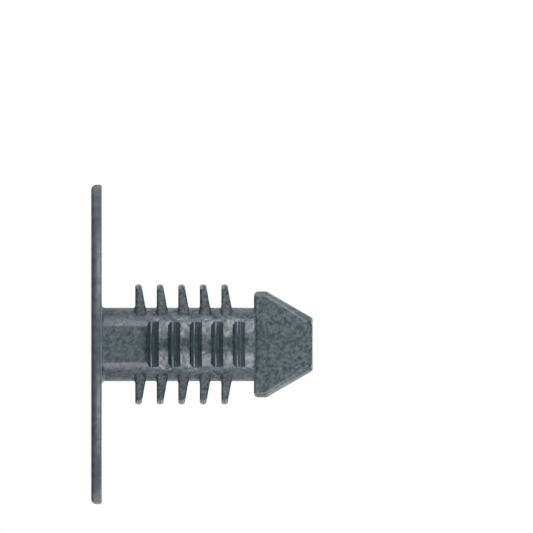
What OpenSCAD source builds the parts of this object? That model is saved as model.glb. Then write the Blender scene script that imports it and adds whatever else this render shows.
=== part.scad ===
// Push-in retainer clip: a thin round head, a round shank with four rows of barbed fins and an arrow tip.
// It stands on the outer face of its head, with the shank along +Z. One row of fins points to each of
// -X, +X, -Y and +Y. Millimetres.

/* [Head] */
// Diameter of the round head
head_d = 30; // [20:0.5:45]
// Thickness of the head
head_t = 1; // [0.8:0.1:2]
// Radius of the rim on the outer face
rim_r = 0.5; // [0.1:0.05:0.55]
// Radius of the rim on the underside
under_r = 0.2; // [0.05:0.05:0.25]
// Diameter of the shallow sink in the outer face, opposite the shank
sink_d = 9; // [5:0.5:14]
// Depth of that sink
sink_depth = 0.06; // [0.02:0.01:0.2]

/* [Shank] */
// Diameter of the shank
shank_d = 6.9; // [6:0.1:8]
// Fillet between the head and the shank
root_r = 0.3; // [0.1:0.05:0.6]
// Length of the bare neck, from the head to the first fins
neck_l = 3.13; // [2:0.01:10]
// Depth of the flats on the front and back of the neck
flat_depth = 0.55; // [0.2:0.05:1]
// Radius of the shank's end edge, which stands on the tip's flats
shank_end_r = 0.2; // [0.1:0.05:0.3]

/* [Fins] */
// Number of fins in each row
fin_count = 5; // [2:1:8]
// Spacing of the fins along the shank
fin_pitch = 2.02; // [1.6:0.02:3]
// Distance by which the front and back rows sit further from the head
row_shift = 1.18; // [0:0.02:1.6]
// Height of the fins above the shank
fin_h = 2.2; // [1.2:0.1:3]
// Width of each fin
fin_w = 4.3; // [2.5:0.1:4.8]
// Thickness of a fin at its crest
crest_t = 0.58; // [0.56:0.02:0.8]
// Slope of the fin's face on the tip side, in degrees
fin_slope = 10; // [4:0.5:18]
// Radius of the crest's two edges
crest_r = 0.3; // [0.05:0.01:0.3]
// Radius of the edges along a fin's sides
fin_edge_r = 0.27; // [0.05:0.01:0.27]
// Fillet at the root of a fin
fin_root_r = 0.28; // [0.05:0.01:0.28]

/* [Tip] */
// Distance from the last fin to the shoulder
tip_gap = 0.9; // [0.5:0.01:3]
// Diameter of the shoulder
shoulder_d = 9.95; // [8.5:0.05:12]
// Length of the shoulder's parallel land
land_l = 1.2; // [0.6:0.05:3]
// Angle between the tapered nose and the axis, in degrees
nose_angle = 30; // [20:1:45]
// Diameter of the nose's blunt end
nose_d = 4.95; // [3.5:0.05:6.5]
// Thickness of the tip between its flat front and back
tip_t = 3.6; // [2.5:0.1:5]
// Radius of the corners of the tip's outline
tip_r = 0.4; // [0.05:0.05:0.45]
// Radius of the edges round the tip's flat front and back
tip_edge_r = 0.4; // [0.1:0.05:0.5]

/* [Hidden] */
$fn = 96;
// Straight steps in each rounded corner, from the sink's middle to its edge, and along a flat's tapered edge
arc_steps = 4;
sink_steps = 6;
edge_steps = 3;
// Depth to which the fins are let into the shank
seat = 0.06;
// Angles by which the crest disc's faces lean away from the fins' faces, and edge bars from the tip's side
crest_lean = 5;
edge_lean = 8;
// Clear length by which a cutting block runs past what it cuts
spare = 1;
shank_rad = shank_d / 2;
fin_rad = shank_rad + fin_h;
fin_seat_rad = shank_rad - seat;
fin_root_t = crest_t + (fin_rad - fin_seat_rad) * tan(fin_slope);
side_z = head_t + neck_l;
front_z = side_z + row_shift;
last_fin_z = front_z + (fin_count - 1) * fin_pitch + fin_root_t;
shoulder_z = last_fin_z + tip_gap;
taper_z = shoulder_z + land_l;
end_z = taper_z + (shoulder_d - nose_d) / 2 / tan(nose_angle);
shank_end_z = shoulder_z + shank_end_r;
shoulder_rad = shoulder_d / 2;
nose_rad = nose_d / 2;

// Direction of a vector, at length one
function unit(v) = v / norm(v);

// Arc that rounds the corner at one point of an outline, between its two neighbours
function corner_arc(before, at, after, radius) =
    let (
        u = unit(before - at),
        v = unit(after - at),
        half = acos(u * v) / 2,
        centre = at + unit(u + v) * radius / sin(half),
        first = at + u * radius / tan(half) - centre,
        turn = (u.x * v.y - u.y * v.x > 0 ? -1 : 1) * (180 - 2 * half),
        start = atan2(first.y, first.x)
    )
    [for (i = [0:arc_steps]) let (a = start + turn * i / arc_steps) centre + radius * [cos(a), sin(a)]];

// Outline with round corners, from corners given as [x, y] or as [x, y, radius]
function outline(corners) =
    let (n = len(corners), flat = [for (c = corners) [c.x, c.y]])
    [for (i = [0:n - 1])
        each len(corners[i]) < 3
            ? [flat[i]]
            : corner_arc(flat[(i + n - 1) % n], flat[i], flat[(i + 1) % n], corners[i].z)];

// Edge of the sink, a smooth dish from the axis out to the flat of the outer face
function sink_edge() =
    [for (i = [0:sink_steps])
        let (share = i / sink_steps) [share * sink_d / 2, sink_depth * (1 + cos(180 * share)) / 2]];

// Radius of the tapered nose at a share of its length, and half the width of the flats at a radius
function taper_rad(share) = shoulder_rad + (nose_rad - shoulder_rad) * share;
function flat_half_w(rad) = sqrt(max(0, rad * rad - tip_t * tip_t / 4));

// Head and shank, turned in one
module head_and_shank() {
    rotate_extrude()
        polygon(outline(concat(sink_edge(), [
            [head_d / 2, 0, rim_r],
            [head_d / 2, head_t, under_r],
            [shank_rad, head_t, root_r],
            [shank_rad, shank_end_z, shank_end_r],
            [0, shank_end_z]
        ])));
}

// Disc that gives the fins their round crests: its faces lean away from the fins' own flat faces
module crest_disc() {
    lean = fin_rad * tan(crest_lean);
    rotate_extrude()
        polygon(outline([
            [0, -lean],
            [fin_rad, 0, crest_r],
            [fin_rad, crest_t, crest_r],
            [0, crest_t + fin_rad * tan(fin_slope) + lean]
        ]));
}

// Bar along +X with a flat top at z = 0 and two round upper edges, as wide as a fin
module round_edged_bar(length, depth) {
    rotate([90, 0, 90])
        linear_extrude(length)
            polygon(outline([
                [-fin_w / 2, -depth],
                [-fin_w / 2, 0, fin_edge_r],
                [fin_w / 2, 0, fin_edge_r],
                [fin_w / 2, -depth]
            ]));
}

// One fin along +X: square to the shank on the head side, at z = 0, and sloped on the tip side
module fin() {
    length = fin_rad + spare;
    depth = fin_root_t + 2 * spare;
    intersection() {
        crest_disc();
        mirror([0, 0, 1]) round_edged_bar(length, depth);
        translate([fin_rad, 0, crest_t])
            rotate([0, fin_slope, 0])
                translate([-fin_rad, 0, 0]) round_edged_bar(length, depth);
    }
}

// Collar that blends the roots of two opposite fins into the shank
module fin_root() {
    run = fin_root_r + seat;
    intersection() {
        rotate_extrude()
            polygon(outline([
                [0, -run],
                [fin_seat_rad, -run],
                [fin_seat_rad, 0, fin_root_r],
                [fin_seat_rad + run, 0],
                [fin_seat_rad + run, fin_root_t - run * tan(fin_slope)],
                [fin_seat_rad, fin_root_t, fin_root_r],
                [fin_seat_rad, fin_root_t + run],
                [0, fin_root_t + run]
            ]));
        cube([2 * fin_rad, fin_w - 2 * fin_edge_r, 2 * (fin_root_t + 2 * run)], center = true);
    }
}

// Two opposite rows of fins along X
module fin_rows(first_z) {
    for (i = [0:fin_count - 1])
        translate([0, 0, first_z + i * fin_pitch]) {
            fin();
            rotate(180) fin();
            fin_root();
        }
}

// Blocks that cut the flats on the front and back of the neck, up to the first fins there
module neck_cuts() {
    length = 2 * (shank_rad + root_r + spare);
    depth = flat_depth + fin_h + spare;
    for (turn = [0, 180])
        rotate(turn)
            translate([-length / 2, shank_rad - flat_depth, head_t])
                cube([length, depth, front_z - head_t]);
}

// Bar along +Z as thick as the tip, on both sides of z = 0. The edges of its +X side are round, and that
// side stands out from its edges at an angle to the front and back
module edge_bar(length, turn) {
    translate([0, 0, -length / 2])
        linear_extrude(length)
            polygon(outline([
                [-2 * shoulder_d, -tip_t / 2],
                [0, -tip_t / 2, tip_edge_r],
                [tip_t / 2 / tan(turn), 0],
                [0, tip_t / 2, tip_edge_r],
                [-2 * shoulder_d, tip_t / 2]
            ]));
}

// Bars that round the +X edges of the tip's flats, along the land and down the taper
module edge_bars() {
    length = 4 * (end_z - shoulder_z);
    intersection() {
        translate([flat_half_w(shoulder_rad), 0, shoulder_z])
            edge_bar(length, acos(tip_t / shoulder_d) - edge_lean);
        intersection_for(i = [0:edge_steps - 1]) {
            rad = taper_rad(i / edge_steps);
            next_rad = taper_rad((i + 1) / edge_steps);
            step_z = (end_z - taper_z) / edge_steps;
            translate([flat_half_w(rad), 0, taper_z + i * step_z])
                rotate([0, -atan((flat_half_w(rad) - flat_half_w(next_rad)) / step_z), 0])
                    edge_bar(length, acos(cos(nose_angle) * tip_t / (rad + next_rad)) - edge_lean);
        }
    }
}

// Arrow tip: a shoulder and a cone, made flat on the front and back, with round edges
module tip() {
    width = shoulder_d + 2 * spare;
    intersection() {
        rotate_extrude()
            polygon(outline([
                [0, shoulder_z],
                [shoulder_rad, shoulder_z, tip_r],
                [shoulder_rad, taper_z, tip_r],
                [nose_rad, end_z, tip_r],
                [0, end_z]
            ]));
        translate([-width / 2, 0, 0])
            rotate([90, 0, 90])
                linear_extrude(width)
                    polygon(outline([
                        [-tip_t / 2, shoulder_z, tip_edge_r],
                        [tip_t / 2, shoulder_z, tip_edge_r],
                        [tip_t / 2, end_z, tip_edge_r],
                        [-tip_t / 2, end_z, tip_edge_r]
                    ]));
        edge_bars();
        rotate(180) edge_bars();
    }
}

module retainer_clip() {
    color([0.22, 0.26, 0.28]) {
        difference() {
            union() {
                head_and_shank();
                fin_rows(side_z);
                rotate(90) fin_rows(front_z);
            }
            neck_cuts();
        }
        tip();
    }
}

retainer_clip();
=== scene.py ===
"""Retainer clip: slate plastic, pale stage, five soft lights and the side view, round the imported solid."""
import math
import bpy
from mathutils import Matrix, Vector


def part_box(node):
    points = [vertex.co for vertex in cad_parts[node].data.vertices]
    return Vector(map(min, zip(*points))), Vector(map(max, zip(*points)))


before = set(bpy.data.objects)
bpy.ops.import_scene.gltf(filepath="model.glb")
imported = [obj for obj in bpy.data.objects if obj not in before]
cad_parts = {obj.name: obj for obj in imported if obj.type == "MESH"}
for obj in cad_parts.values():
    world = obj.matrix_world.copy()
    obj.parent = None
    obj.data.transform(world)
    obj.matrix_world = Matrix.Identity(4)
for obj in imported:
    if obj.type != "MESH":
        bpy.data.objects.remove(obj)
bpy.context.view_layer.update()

from types import SimpleNamespace

import bpy
from mathutils import Matrix, Vector

low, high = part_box("retainer_clip")

MM = 0.001

# Levels along the clip's axis, in metres like all lengths here
FACE_Z = 0.2 * MM
RIM_EDGE_Z = 0.76 * MM
HEAD_T = 1.0 * MM
NECK_END = 5.3 * MM
SHOULDER_Z = 15.27 * MM
TAPER_Z = 16.47 * MM
NOSE_Z = 20.4 * MM

# Radii at which the fins, their crests and the head's rim start
FIN_RAD = 3.55 * MM
CREST_RAD = 5.3 * MM
RIM_RAD = 14.4 * MM

# Distances from the middle at which the neck flats, the tip flats and the tip's rounded edges start
NECK_FLAT_Y = 2.86 * MM
TIP_FLAT_Y = 1.788 * MM
TIP_ROUND_Y = 1.5 * MM

# Half width of the neck flats, the band in which their edges are eased, and the slope that it ends with
NECK_FLAT_X = 1.87 * MM
EASED = 0.34 * MM
EASED_SLOPE = math.tan(math.radians(28))

# Share of a surface's direction along an axis, at the start and the full strength of a zone that faces it
LEANING = (0.6, 0.85)
SQUARE_ON = (0.95, 0.99)

# Darkest and palest shade of the plastic, the pale tone painted on the taper's and the rim's edges as a
# highlight, and its share on each
DARK = (0.013, 0.028, 0.033, 1.0)
PALE = (0.109, 0.1415, 0.160, 1.0)
PAINTED_HIGHLIGHT_TONE = (0.175, 0.205, 0.22, 1.0)
TAPER_HIGHLIGHT = 0.35
RIM_EDGE_HIGHLIGHT = 0.2

# Sizes of the patterns in the plastic, and the turn and stretch of the streaks
GRAIN = 0.27 * MM
MOTTLE = 0.6 * MM
MARKS = 0.62 * MM
BLOTCH = 0.9 * MM
STREAK = 0.32 * MM
STREAK_TURN = math.radians(45)
STREAK_STRETCH = 1.6

# Specks: their spacing, largest radius, share of cells without one, and soft share of the radius
SPECK_SPACING = 3.5 * MM
SPECK_RAD = 0.13 * MM
SPECK_BARE = 0.3
SPECK_SOFT = 0.3

# How far each pattern and finish counts in the colour, and the tones that it runs between
MOTTLE_SHARE = 0.35
STREAK_SHARE = 0.6
STREAK_TONES = (0.2, 1.0)
HEAD_SHARE = 0.6
HEAD_TONE = 0.45
RIM_SHARE = 0.7
RIM_TONES = (0.1, 0.42)
TIP_SHADE = 0.8
# The smooth crests and the head's face are darker, and the fin flanks are darkened at a share of that as
# painted shade
SMOOTH_AND_SHADED_TONE = 0.15
FLANK_PAINTED_SHADE = 0.5

# Roughness of each finish. A pair runs between the two ends of a pattern or a border
ROUGH_PLAIN = 0.45
ROUGH_FLAT = 0.75
ROUGH_LAND_TO_TAPER = (0.46, 0.28)
ROUGH_SHANK = (0.23, 0.37)
ROUGH_NECK = 0.35
ROUGH_CREST = 0.2
ROUGH_RIM = (0.46, 0.36)
ROUGH_CHANGE = (-0.03, 0.03)
IOR = 1.57

# Depth of the fine grain and of the shank's marks, and how strong each is where
GRAIN_DEPTH = 0.09 * MM
GRAIN_PLAIN = 0.08
GRAIN_FLAT = 0.6
MARK_DEPTH = 0.08 * MM
MARKS_NECK = 0.3
MARKS_RIM = 0.5

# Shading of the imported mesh
WELD_GAP = 0.001 * MM
SHARP_ANGLE = math.radians(30)
EVEN_WEIGHT = 50

# Floor and the sheet under it, and the strength of the world's fill
FLOOR_HALF = 2.3
FLOOR_TONE = (0.82, 0.82, 0.82, 1.0)
FLOOR_ROUGH = 0.9
FLOOR_SHINE = 0.1
UNDER_FLOOR_Z = -0.02
UNDER_FLOOR_LEVEL = 0.87
PAPER_TONE = (0.5, 0.5, 0.5, 1.0)
WHITE = (1.0, 1.0, 1.0, 1.0)
WORLD_LEVEL = 0.4

# White walls: first and last angle and the steps between them, in degrees, radius, bottom and top
BACKDROP = (70, 110, 0.6, -0.1, 0.15)
HORIZON = (0, 360, 2.2, -0.03, 0.04)
WALL_STEP = 2

# Soft lights: angle from the camera's axis, lift towards the tip, distance, width, height and radiance
LIGHTS = {
    "upper_light": (-54, 6, 0.35, 0.42, 0.09, 6.5),
    "lower_light": (50, 6, 0.35, 0.38, 0.09, 7.2),
    "edge_light": (140, 14, 0.4, 0.2, 0.12, 1.0),
    "tip_light": (-54, 29, 0.35, 0.12, 0.06, 6.0),
    "back_light": (180, 50, 0.5, 0.5, 0.35, 3.2),
}

# Framing: where the clip lies in the square picture, in its pixels
PICTURE = 533.0
HEAD_FACE_PX = 91.2
AXIS_PX = 344.4
HEAD_PX = 319.7

# Distance of the camera from the clip's axis, and the range that it sees
CAMERA_BACK = 0.3
CAMERA_CLIP = (0.01, 3.0)


class Nodes:
    """Short names for the nodes of one material."""

    def __init__(self, tree):
        self.tree = tree
        tree.nodes.clear()

    def add(self, kind, **settings):
        node = self.tree.nodes.new(kind)
        for name, value in settings.items():
            setattr(node, name, value)
        return node

    def put(self, socket, value):
        """Links a socket to another, or sets it to a plain value."""
        if isinstance(value, bpy.types.NodeSocket):
            self.tree.links.new(value, socket)
        else:
            socket.default_value = value

    def math(self, operation, *values):
        node = self.add("ShaderNodeMath", operation=operation)
        for socket, value in zip(node.inputs, values):
            self.put(socket, value)
        return node.outputs[0]

    def product(self, first, *others):
        for other in others:
            first = self.math("MULTIPLY", first, other)
        return first

    def invert(self, mask):
        return self.math("SUBTRACT", 1.0, mask)

    def split(self, vector):
        node = self.add("ShaderNodeSeparateXYZ")
        self.put(node.inputs[0], vector)
        return node.outputs

    def step(self, value, start, end, low=0.0, high=1.0):
        """Smooth step from low, at the start, to high, at the end."""
        node = self.add("ShaderNodeMapRange", interpolation_type="SMOOTHSTEP")
        for name, part in zip(
            ("Value", "From Min", "From Max", "To Min", "To Max"), (value, start, end, low, high)
        ):
            self.put(node.inputs[name], part)
        return node.outputs["Result"]

    def above(self, value, level, border):
        """One where a value lies past the border that starts at a level, and none under that level."""
        return self.step(value, level, level + border)

    def below(self, value, level, border):
        """One where a value lies under the border that ends at a level, and none over that level."""
        return self.step(value, level - border, level, 1.0, 0.0)

    def spread(self, noise, low=0.0, high=1.0, *, half):
        """Noise that runs from low to high within half a width on each side of its middle."""
        return self.step(noise, 0.5 - half, 0.5 + half, low, high)

    def noise(self, vector, size, detail=2.0, roughness=0.5):
        node = self.add("ShaderNodeTexNoise", noise_dimensions="3D")
        self.put(node.inputs["Vector"], vector)
        self.put(node.inputs["Scale"], 1.0 / size)
        self.put(node.inputs["Detail"], detail)
        self.put(node.inputs["Roughness"], roughness)
        return node.outputs["Fac"]

    def specks(self, vector, spacing, radius):
        """One inside round specks of up to the given radius, scattered one to a cell, and none outside."""
        node = self.add("ShaderNodeTexVoronoi", voronoi_dimensions="2D")
        self.put(node.inputs["Vector"], vector)
        self.put(node.inputs["Scale"], 1.0 / spacing)
        size = self.split(node.outputs["Color"])[0]
        reach = self.math("MULTIPLY", self.step(size, SPECK_BARE, 1.0), radius / spacing)
        inward = self.math("SUBTRACT", reach, node.outputs["Distance"])
        return self.step(inward, 0.0, SPECK_SOFT * radius / spacing)

    # A Mix node numbers its sockets apart for each kind of data
    def mix_colour(self, share, first, second):
        node = self.add("ShaderNodeMix", data_type="RGBA")
        self.put(node.inputs["Factor"], share)
        self.put(node.inputs[6], first)
        self.put(node.inputs[7], second)
        return node.outputs[2]

    def mix_value(self, share, first, second):
        node = self.add("ShaderNodeMix", data_type="FLOAT")
        self.put(node.inputs[0], share)
        self.put(node.inputs[2], first)
        self.put(node.inputs[3], second)
        return node.outputs[0]

    def bump(self, strength, distance, height, normal=None):
        """Direction of the surface with a relief on it, on top of another relief if one is given."""
        node = self.add("ShaderNodeBump")
        self.put(node.inputs["Strength"], strength)
        self.put(node.inputs["Distance"], distance)
        self.put(node.inputs["Height"], height)
        if normal is not None:
            self.put(node.inputs["Normal"], normal)
        return node.outputs["Normal"]


def find_zones(n, coordinates):
    """Masks of the clip's surfaces, each one on its surface and none off it, with the places they use."""
    x, y, z = n.split(coordinates.outputs["Object"])
    face_x, face_y, face_z = n.split(coordinates.outputs["Normal"])
    radius = n.math("SQRT", n.math("ADD", n.math("MULTIPLY", x, x), n.math("MULTIPLY", y, y)))
    aside = n.math("ABSOLUTE", x)
    depth = n.math("ABSOLUTE", y)

    # Lengths of the clip
    past_head = n.above(z, HEAD_T, 0.1 * MM)
    head = n.invert(past_head)
    neck = n.product(past_head, n.below(z, NECK_END, 0.05 * MM))
    tip = n.above(z, SHOULDER_Z, 0.05 * MM)
    barrel = n.math("SUBTRACT", past_head, tip)

    # Flats of the neck, whole and without their eased edges, and of the tip
    neck_cut = n.product(
        neck,
        n.above(depth, NECK_FLAT_Y, 0.04 * MM),
        n.step(n.math("ABSOLUTE", face_y), *SQUARE_ON),
    )
    neck_flat = n.product(neck_cut, n.below(aside, NECK_FLAT_X, EASED))
    tip_flat = n.product(tip, n.above(depth, TIP_FLAT_Y, 0.008 * MM))

    # Edges of the tip, and the part of them along the taper that gets a painted highlight
    tip_edge = n.math("SUBTRACT", tip, tip_flat)
    taper_edge = n.product(
        tip_edge,
        n.above(depth, TIP_ROUND_Y, 0.1 * MM),
        n.above(z, TAPER_Z, 0.4 * MM),
        n.below(z, NOSE_Z, 0.3 * MM),
    )

    # Crests and flanks of the fins, and the bare shank between them
    outward_x = n.math("MULTIPLY", face_x, n.math("DIVIDE", x, radius))
    outward_y = n.math("MULTIPLY", face_y, n.math("DIVIDE", y, radius))
    outward = n.step(n.math("ADD", outward_x, outward_y), *LEANING)
    along = n.step(n.math("ABSOLUTE", face_z), *LEANING)
    fin = n.above(radius, FIN_RAD, 0.2 * MM)
    crest = n.product(barrel, n.above(radius, CREST_RAD, 0.1 * MM), outward)
    flank = n.product(barrel, fin, along)
    shank = n.product(n.math("SUBTRACT", barrel, neck_flat), n.invert(fin))

    # Rim of the head, its edge on the shank's side, and the outer face
    rim = n.above(radius, RIM_RAD, 0.1 * MM)
    rim_edge = n.product(rim, head, n.above(z, RIM_EDGE_Z, 0.1 * MM))
    face = n.product(n.below(z, FACE_Z, 0.1 * MM), n.invert(rim))

    return SimpleNamespace(
        z=z, aside=aside, head=head, neck=neck, neck_cut=neck_cut, neck_flat=neck_flat, tip_flat=tip_flat,
        flat=n.math("ADD", neck_flat, tip_flat), tip_edge=tip_edge, taper_edge=taper_edge, crest=crest,
        flank=flank, shank=shank, rim=rim, rim_edge=rim_edge, face=face,
    )


def make_patterns(n, place):
    """Patterns of the plastic."""
    turned = n.add("ShaderNodeMapping", vector_type="TEXTURE")
    n.put(turned.inputs["Vector"], place)
    n.put(turned.inputs["Rotation"], (0.0, STREAK_TURN, 0.0))
    n.put(turned.inputs["Scale"], (STREAK_STRETCH, 1.0, 1.0))
    return SimpleNamespace(
        grain=n.noise(place, GRAIN, detail=2.5),
        mottle=n.noise(place, MOTTLE, detail=3.0, roughness=0.55),
        marks=n.noise(place, MARKS, detail=0.6),
        blotch=n.noise(place, BLOTCH),
        streaks=n.noise(turned.outputs[0], STREAK, detail=1.0),
        specks=n.specks(place, SPECK_SPACING, SPECK_RAD),
    )


def plastic_colour(n, zone, pattern):
    """Mottled slate: streaked on the neck flats, calm on the head, dark where smooth, with painted shade on
    the fin flanks and painted highlights along the taper's edges and the rim's edge on the shank's side.
    """
    pale = n.mix_value(
        MOTTLE_SHARE, n.spread(pattern.grain, half=0.16), n.spread(pattern.mottle, half=0.14)
    )
    streaked = n.spread(pattern.streaks, *STREAK_TONES, half=0.16)
    pale = n.mix_value(n.math("MULTIPLY", zone.neck_flat, STREAK_SHARE), pale, streaked)
    pale = n.mix_value(n.math("MULTIPLY", zone.head, HEAD_SHARE), pale, HEAD_TONE)
    pale = n.math("MULTIPLY", pale, n.mix_value(zone.tip_flat, 1.0, TIP_SHADE))
    blotched = n.spread(pattern.blotch, *RIM_TONES, half=0.14)
    pale = n.mix_value(n.math("MULTIPLY", zone.rim, RIM_SHARE), pale, blotched)
    # Smooth crests and the head's smooth face take the darker tone, and the fin flanks take a share of it as
    # painted shade
    smooth = n.math("MAXIMUM", zone.crest, n.math("MULTIPLY", zone.flank, FLANK_PAINTED_SHADE))
    smooth = n.math("MAXIMUM", zone.face, smooth)
    pale = n.math("MULTIPLY", pale, n.mix_value(smooth, 1.0, SMOOTH_AND_SHADED_TONE))
    pale = n.math("ADD", pale, n.math("MULTIPLY", zone.face, pattern.specks))
    # Painted highlights: a pale tone on the taper's edges and on the rim's edge on the shank's side
    taper_highlight = n.math("MULTIPLY", zone.taper_edge, TAPER_HIGHLIGHT)
    rim_highlight = n.math("MULTIPLY", zone.rim_edge, RIM_EDGE_HIGHLIGHT)
    return n.mix_colour(n.math("ADD", taper_highlight, rim_highlight), n.mix_colour(pale, DARK, PALE), PAINTED_HIGHLIGHT_TONE)


def plastic_roughness(n, zone, pattern):
    """Matt flats, glossier shank and edges, and smooth crests."""
    rough = n.mix_value(zone.flat, ROUGH_PLAIN, ROUGH_FLAT)
    edge = n.step(zone.z, TAPER_Z - 0.1 * MM, TAPER_Z + 0.3 * MM, *ROUGH_LAND_TO_TAPER)
    rough = n.mix_value(zone.tip_edge, rough, edge)
    marked = n.spread(pattern.marks, *ROUGH_SHANK, half=0.15)
    rough = n.mix_value(zone.shank, rough, n.mix_value(zone.neck, marked, ROUGH_NECK))
    rough = n.mix_value(zone.crest, rough, ROUGH_CREST)
    rough = n.mix_value(zone.rim, rough, n.spread(pattern.blotch, *ROUGH_RIM, half=0.14))
    return n.math("ADD", rough, n.spread(pattern.mottle, *ROUGH_CHANGE, half=0.2))


def plastic_relief(n, zone, pattern):
    """Eased edges on the neck flats, fine grain on all flats, faint elsewhere, and marks on shank and rim."""
    over = n.math("MAXIMUM", n.math("SUBTRACT", zone.aside, NECK_FLAT_X - EASED), 0.0)
    fall = n.math("MULTIPLY", n.math("MULTIPLY", over, over), -EASED_SLOPE / (2 * EASED))
    # This height is in metres already, so it isn't scaled
    eased = n.bump(zone.neck_cut, 1.0, fall)
    grained = n.bump(n.mix_value(zone.flat, GRAIN_PLAIN, GRAIN_FLAT), GRAIN_DEPTH, pattern.grain, eased)
    shank_marks = n.math("MULTIPLY", zone.shank, n.mix_value(zone.neck, 1.0, MARKS_NECK))
    return n.bump(n.mix_value(zone.rim, shank_marks, MARKS_RIM), MARK_DEPTH, pattern.marks, grained)


def make_plastic():
    """Slate plastic of the whole clip."""
    material = bpy.data.materials.new("slate_plastic")
    material.use_nodes = True
    n = Nodes(material.node_tree)
    shader = n.add("ShaderNodeBsdfPrincipled")
    n.put(n.add("ShaderNodeOutputMaterial").inputs["Surface"], shader.outputs["BSDF"])
    coordinates = n.add("ShaderNodeTexCoord")
    zone = find_zones(n, coordinates)
    pattern = make_patterns(n, coordinates.outputs["Object"])
    n.put(shader.inputs["Base Color"], plastic_colour(n, zone, pattern))
    n.put(shader.inputs["Roughness"], plastic_roughness(n, zone, pattern))
    n.put(shader.inputs["IOR"], IOR)
    n.put(shader.inputs["Normal"], plastic_relief(n, zone, pattern))
    return material


def shade_smooth_group():
    """Geometry nodes that shade every face smooth."""
    group = bpy.data.node_groups.new("shade_smooth", "GeometryNodeTree")
    for side in ("INPUT", "OUTPUT"):
        group.interface.new_socket("Geometry", in_out=side, socket_type="NodeSocketGeometry")
    first = group.nodes.new("NodeGroupInput")
    shade = group.nodes.new("GeometryNodeSetShadeSmooth")
    last = group.nodes.new("NodeGroupOutput")
    group.links.new(first.outputs[0], shade.inputs["Geometry"])
    group.links.new(shade.outputs[0], last.inputs[0])
    return group


def smooth_rounds(piece):
    """Shades each rounded edge as one smooth curve, and keeps the sharp edges."""
    weld = piece.modifiers.new("weld", "WELD")
    weld.merge_threshold = WELD_GAP
    facets = piece.modifiers.new("facets", "NODES")
    facets.node_group = shade_smooth_group()
    split = piece.modifiers.new("split", "EDGE_SPLIT")
    split.split_angle = SHARP_ANGLE
    even = piece.modifiers.new("even", "WEIGHTED_NORMAL")
    even.mode = "FACE_AREA"
    even.weight = EVEN_WEIGHT
    even.keep_sharp = True


def add_object(name, data):
    """New object in the scene."""
    made = bpy.data.objects.new(name, data)
    bpy.context.scene.collection.objects.link(made)
    return made


def make_stage(name, points, faces, material):
    """One surface of the stage."""
    mesh = bpy.data.meshes.new(name)
    mesh.from_pydata(points, [], faces)
    mesh.materials.append(material)
    add_object(name, mesh)


def make_sheet(name, level, material):
    """Wide level sheet."""
    corners = [(-1, -1), (1, -1), (1, 1), (-1, 1)]
    points = [(FLOOR_HALF * x, FLOOR_HALF * y, level) for x, y in corners]
    make_stage(name, points, [(0, 1, 2, 3)], material)


def make_wall(name, start, end, radius, bottom, top, material):
    """Upright wall round the clip's axis, between two angles."""
    count = math.ceil((end - start) / WALL_STEP)
    turns = [math.radians(start + (end - start) * i / count) for i in range(count + 1)]
    points = [(radius * math.cos(a), radius * math.sin(a), level) for level in (bottom, top) for a in turns]
    faces = [(i, count + 1 + i, count + 2 + i, i + 1) for i in range(count)]
    make_stage(name, points, faces, material)


def make_floor_paint():
    """Matt pale paint."""
    material = bpy.data.materials.new("floor_paint")
    material.use_nodes = True
    shader = material.node_tree.nodes["Principled BSDF"]
    shader.inputs["Base Color"].default_value = FLOOR_TONE
    shader.inputs["Roughness"].default_value = FLOOR_ROUGH
    shader.inputs["Specular IOR Level"].default_value = FLOOR_SHINE
    return material


def make_paper(name, level):
    """Paper that is pale where it is seen or mirrored, and plain grey in the light that it gives back."""
    material = bpy.data.materials.new(name)
    material.use_nodes = True
    material.cycles.emission_sampling = "NONE"
    n = Nodes(material.node_tree)
    path = n.add("ShaderNodeLightPath")
    seen = n.math("MAXIMUM", path.outputs["Is Camera Ray"], path.outputs["Is Glossy Ray"])
    seen = n.math("MAXIMUM", seen, path.outputs["Is Transmission Ray"])
    paper = n.add("ShaderNodeBsdfDiffuse")
    n.put(paper.inputs["Color"], PAPER_TONE)
    glow = n.add("ShaderNodeEmission")
    n.put(glow.inputs["Color"], WHITE)
    n.put(glow.inputs["Strength"], level)
    mix = n.add("ShaderNodeMixShader")
    for socket, value in zip(mix.inputs, (seen, paper.outputs[0], glow.outputs[0])):
        n.put(socket, value)
    n.put(n.add("ShaderNodeOutputMaterial").inputs["Surface"], mix.outputs[0])
    return material


def make_world():
    """Dim even fill."""
    world = bpy.data.worlds.new("studio")
    bpy.context.scene.world = world
    world.use_nodes = True
    fill = world.node_tree.nodes["Background"]
    fill.inputs["Color"].default_value = WHITE
    fill.inputs["Strength"].default_value = WORLD_LEVEL


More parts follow.
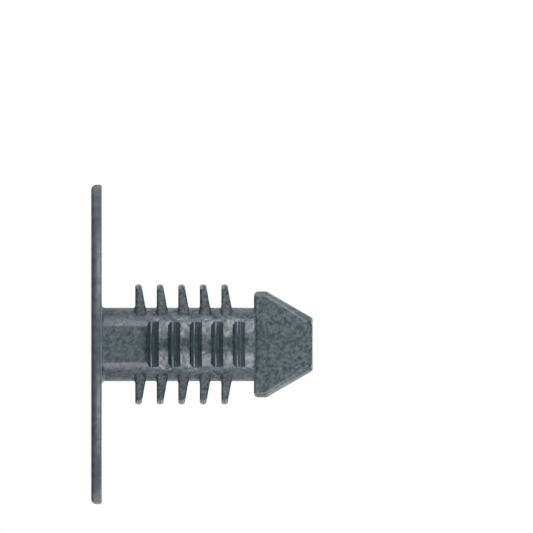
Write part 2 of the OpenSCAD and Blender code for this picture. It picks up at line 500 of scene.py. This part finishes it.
def make_softbox(name, angle, lift, distance, width, height, radiance):
    """Soft light at an angle from the camera's axis, seen from the clip, and lifted towards its tip."""
    lamp = bpy.data.lights.new(name, "AREA")
    lamp.shape = "RECTANGLE"
    lamp.size = width
    lamp.size_y = height
    lamp.energy = radiance * math.pi * width * height
    light = add_object(name, lamp)
    target = Vector((0.0, 0.0, (high.z - low.z) / 2))
    a, e = math.radians(angle), math.radians(lift)
    towards = Vector((math.sin(a) * math.cos(e), -math.cos(a) * math.cos(e), math.sin(e)))
    light.location = target + distance * towards
    side = Vector((0.0, 0.0, 1.0)).cross(towards).normalized()
    up = towards.cross(side)
    light.rotation_euler = Matrix((side, up, towards)).transposed().to_euler()
    light.visible_camera = False


def make_camera():
    """Level side view along +Y, turned so that the clip's axis runs to the right."""
    per_px = (high.x - low.x) / HEAD_PX
    camera = bpy.data.cameras.new("side_view")
    camera.type = "ORTHO"
    camera.ortho_scale = PICTURE * per_px
    camera.clip_start, camera.clip_end = CAMERA_CLIP
    view = add_object("side_view", camera)
    right, up, back = Vector((0, 0, 1)), Vector((-1, 0, 0)), Vector((0, -1, 0))
    across = (PICTURE / 2 - HEAD_FACE_PX) * per_px
    above = (AXIS_PX - PICTURE / 2) * per_px
    place = right * across + up * above + back * CAMERA_BACK
    view.matrix_world = Matrix.Translation(place) @ Matrix((right, up, back)).transposed().to_4x4()
    bpy.context.scene.camera = view


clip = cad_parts["retainer_clip"]
plastic = make_plastic()
for slot in clip.material_slots:
    slot.material = plastic
smooth_rounds(clip)

# Floor and a white card behind the clip. The sheet under the floor and the ring serve views near the horizon
white_paper = make_paper("backdrop_paper", 1.0)
make_sheet("floor", 0.0, make_floor_paint())
make_sheet("under_floor", UNDER_FLOOR_Z, make_paper("under_paper", UNDER_FLOOR_LEVEL))
make_wall("backdrop", *BACKDROP, white_paper)
make_wall("horizon", *HORIZON, white_paper)

make_world()
for name, facts in LIGHTS.items():
    make_softbox(name, *facts)
make_camera()
bpy.context.scene.view_settings.view_transform = "Standard"
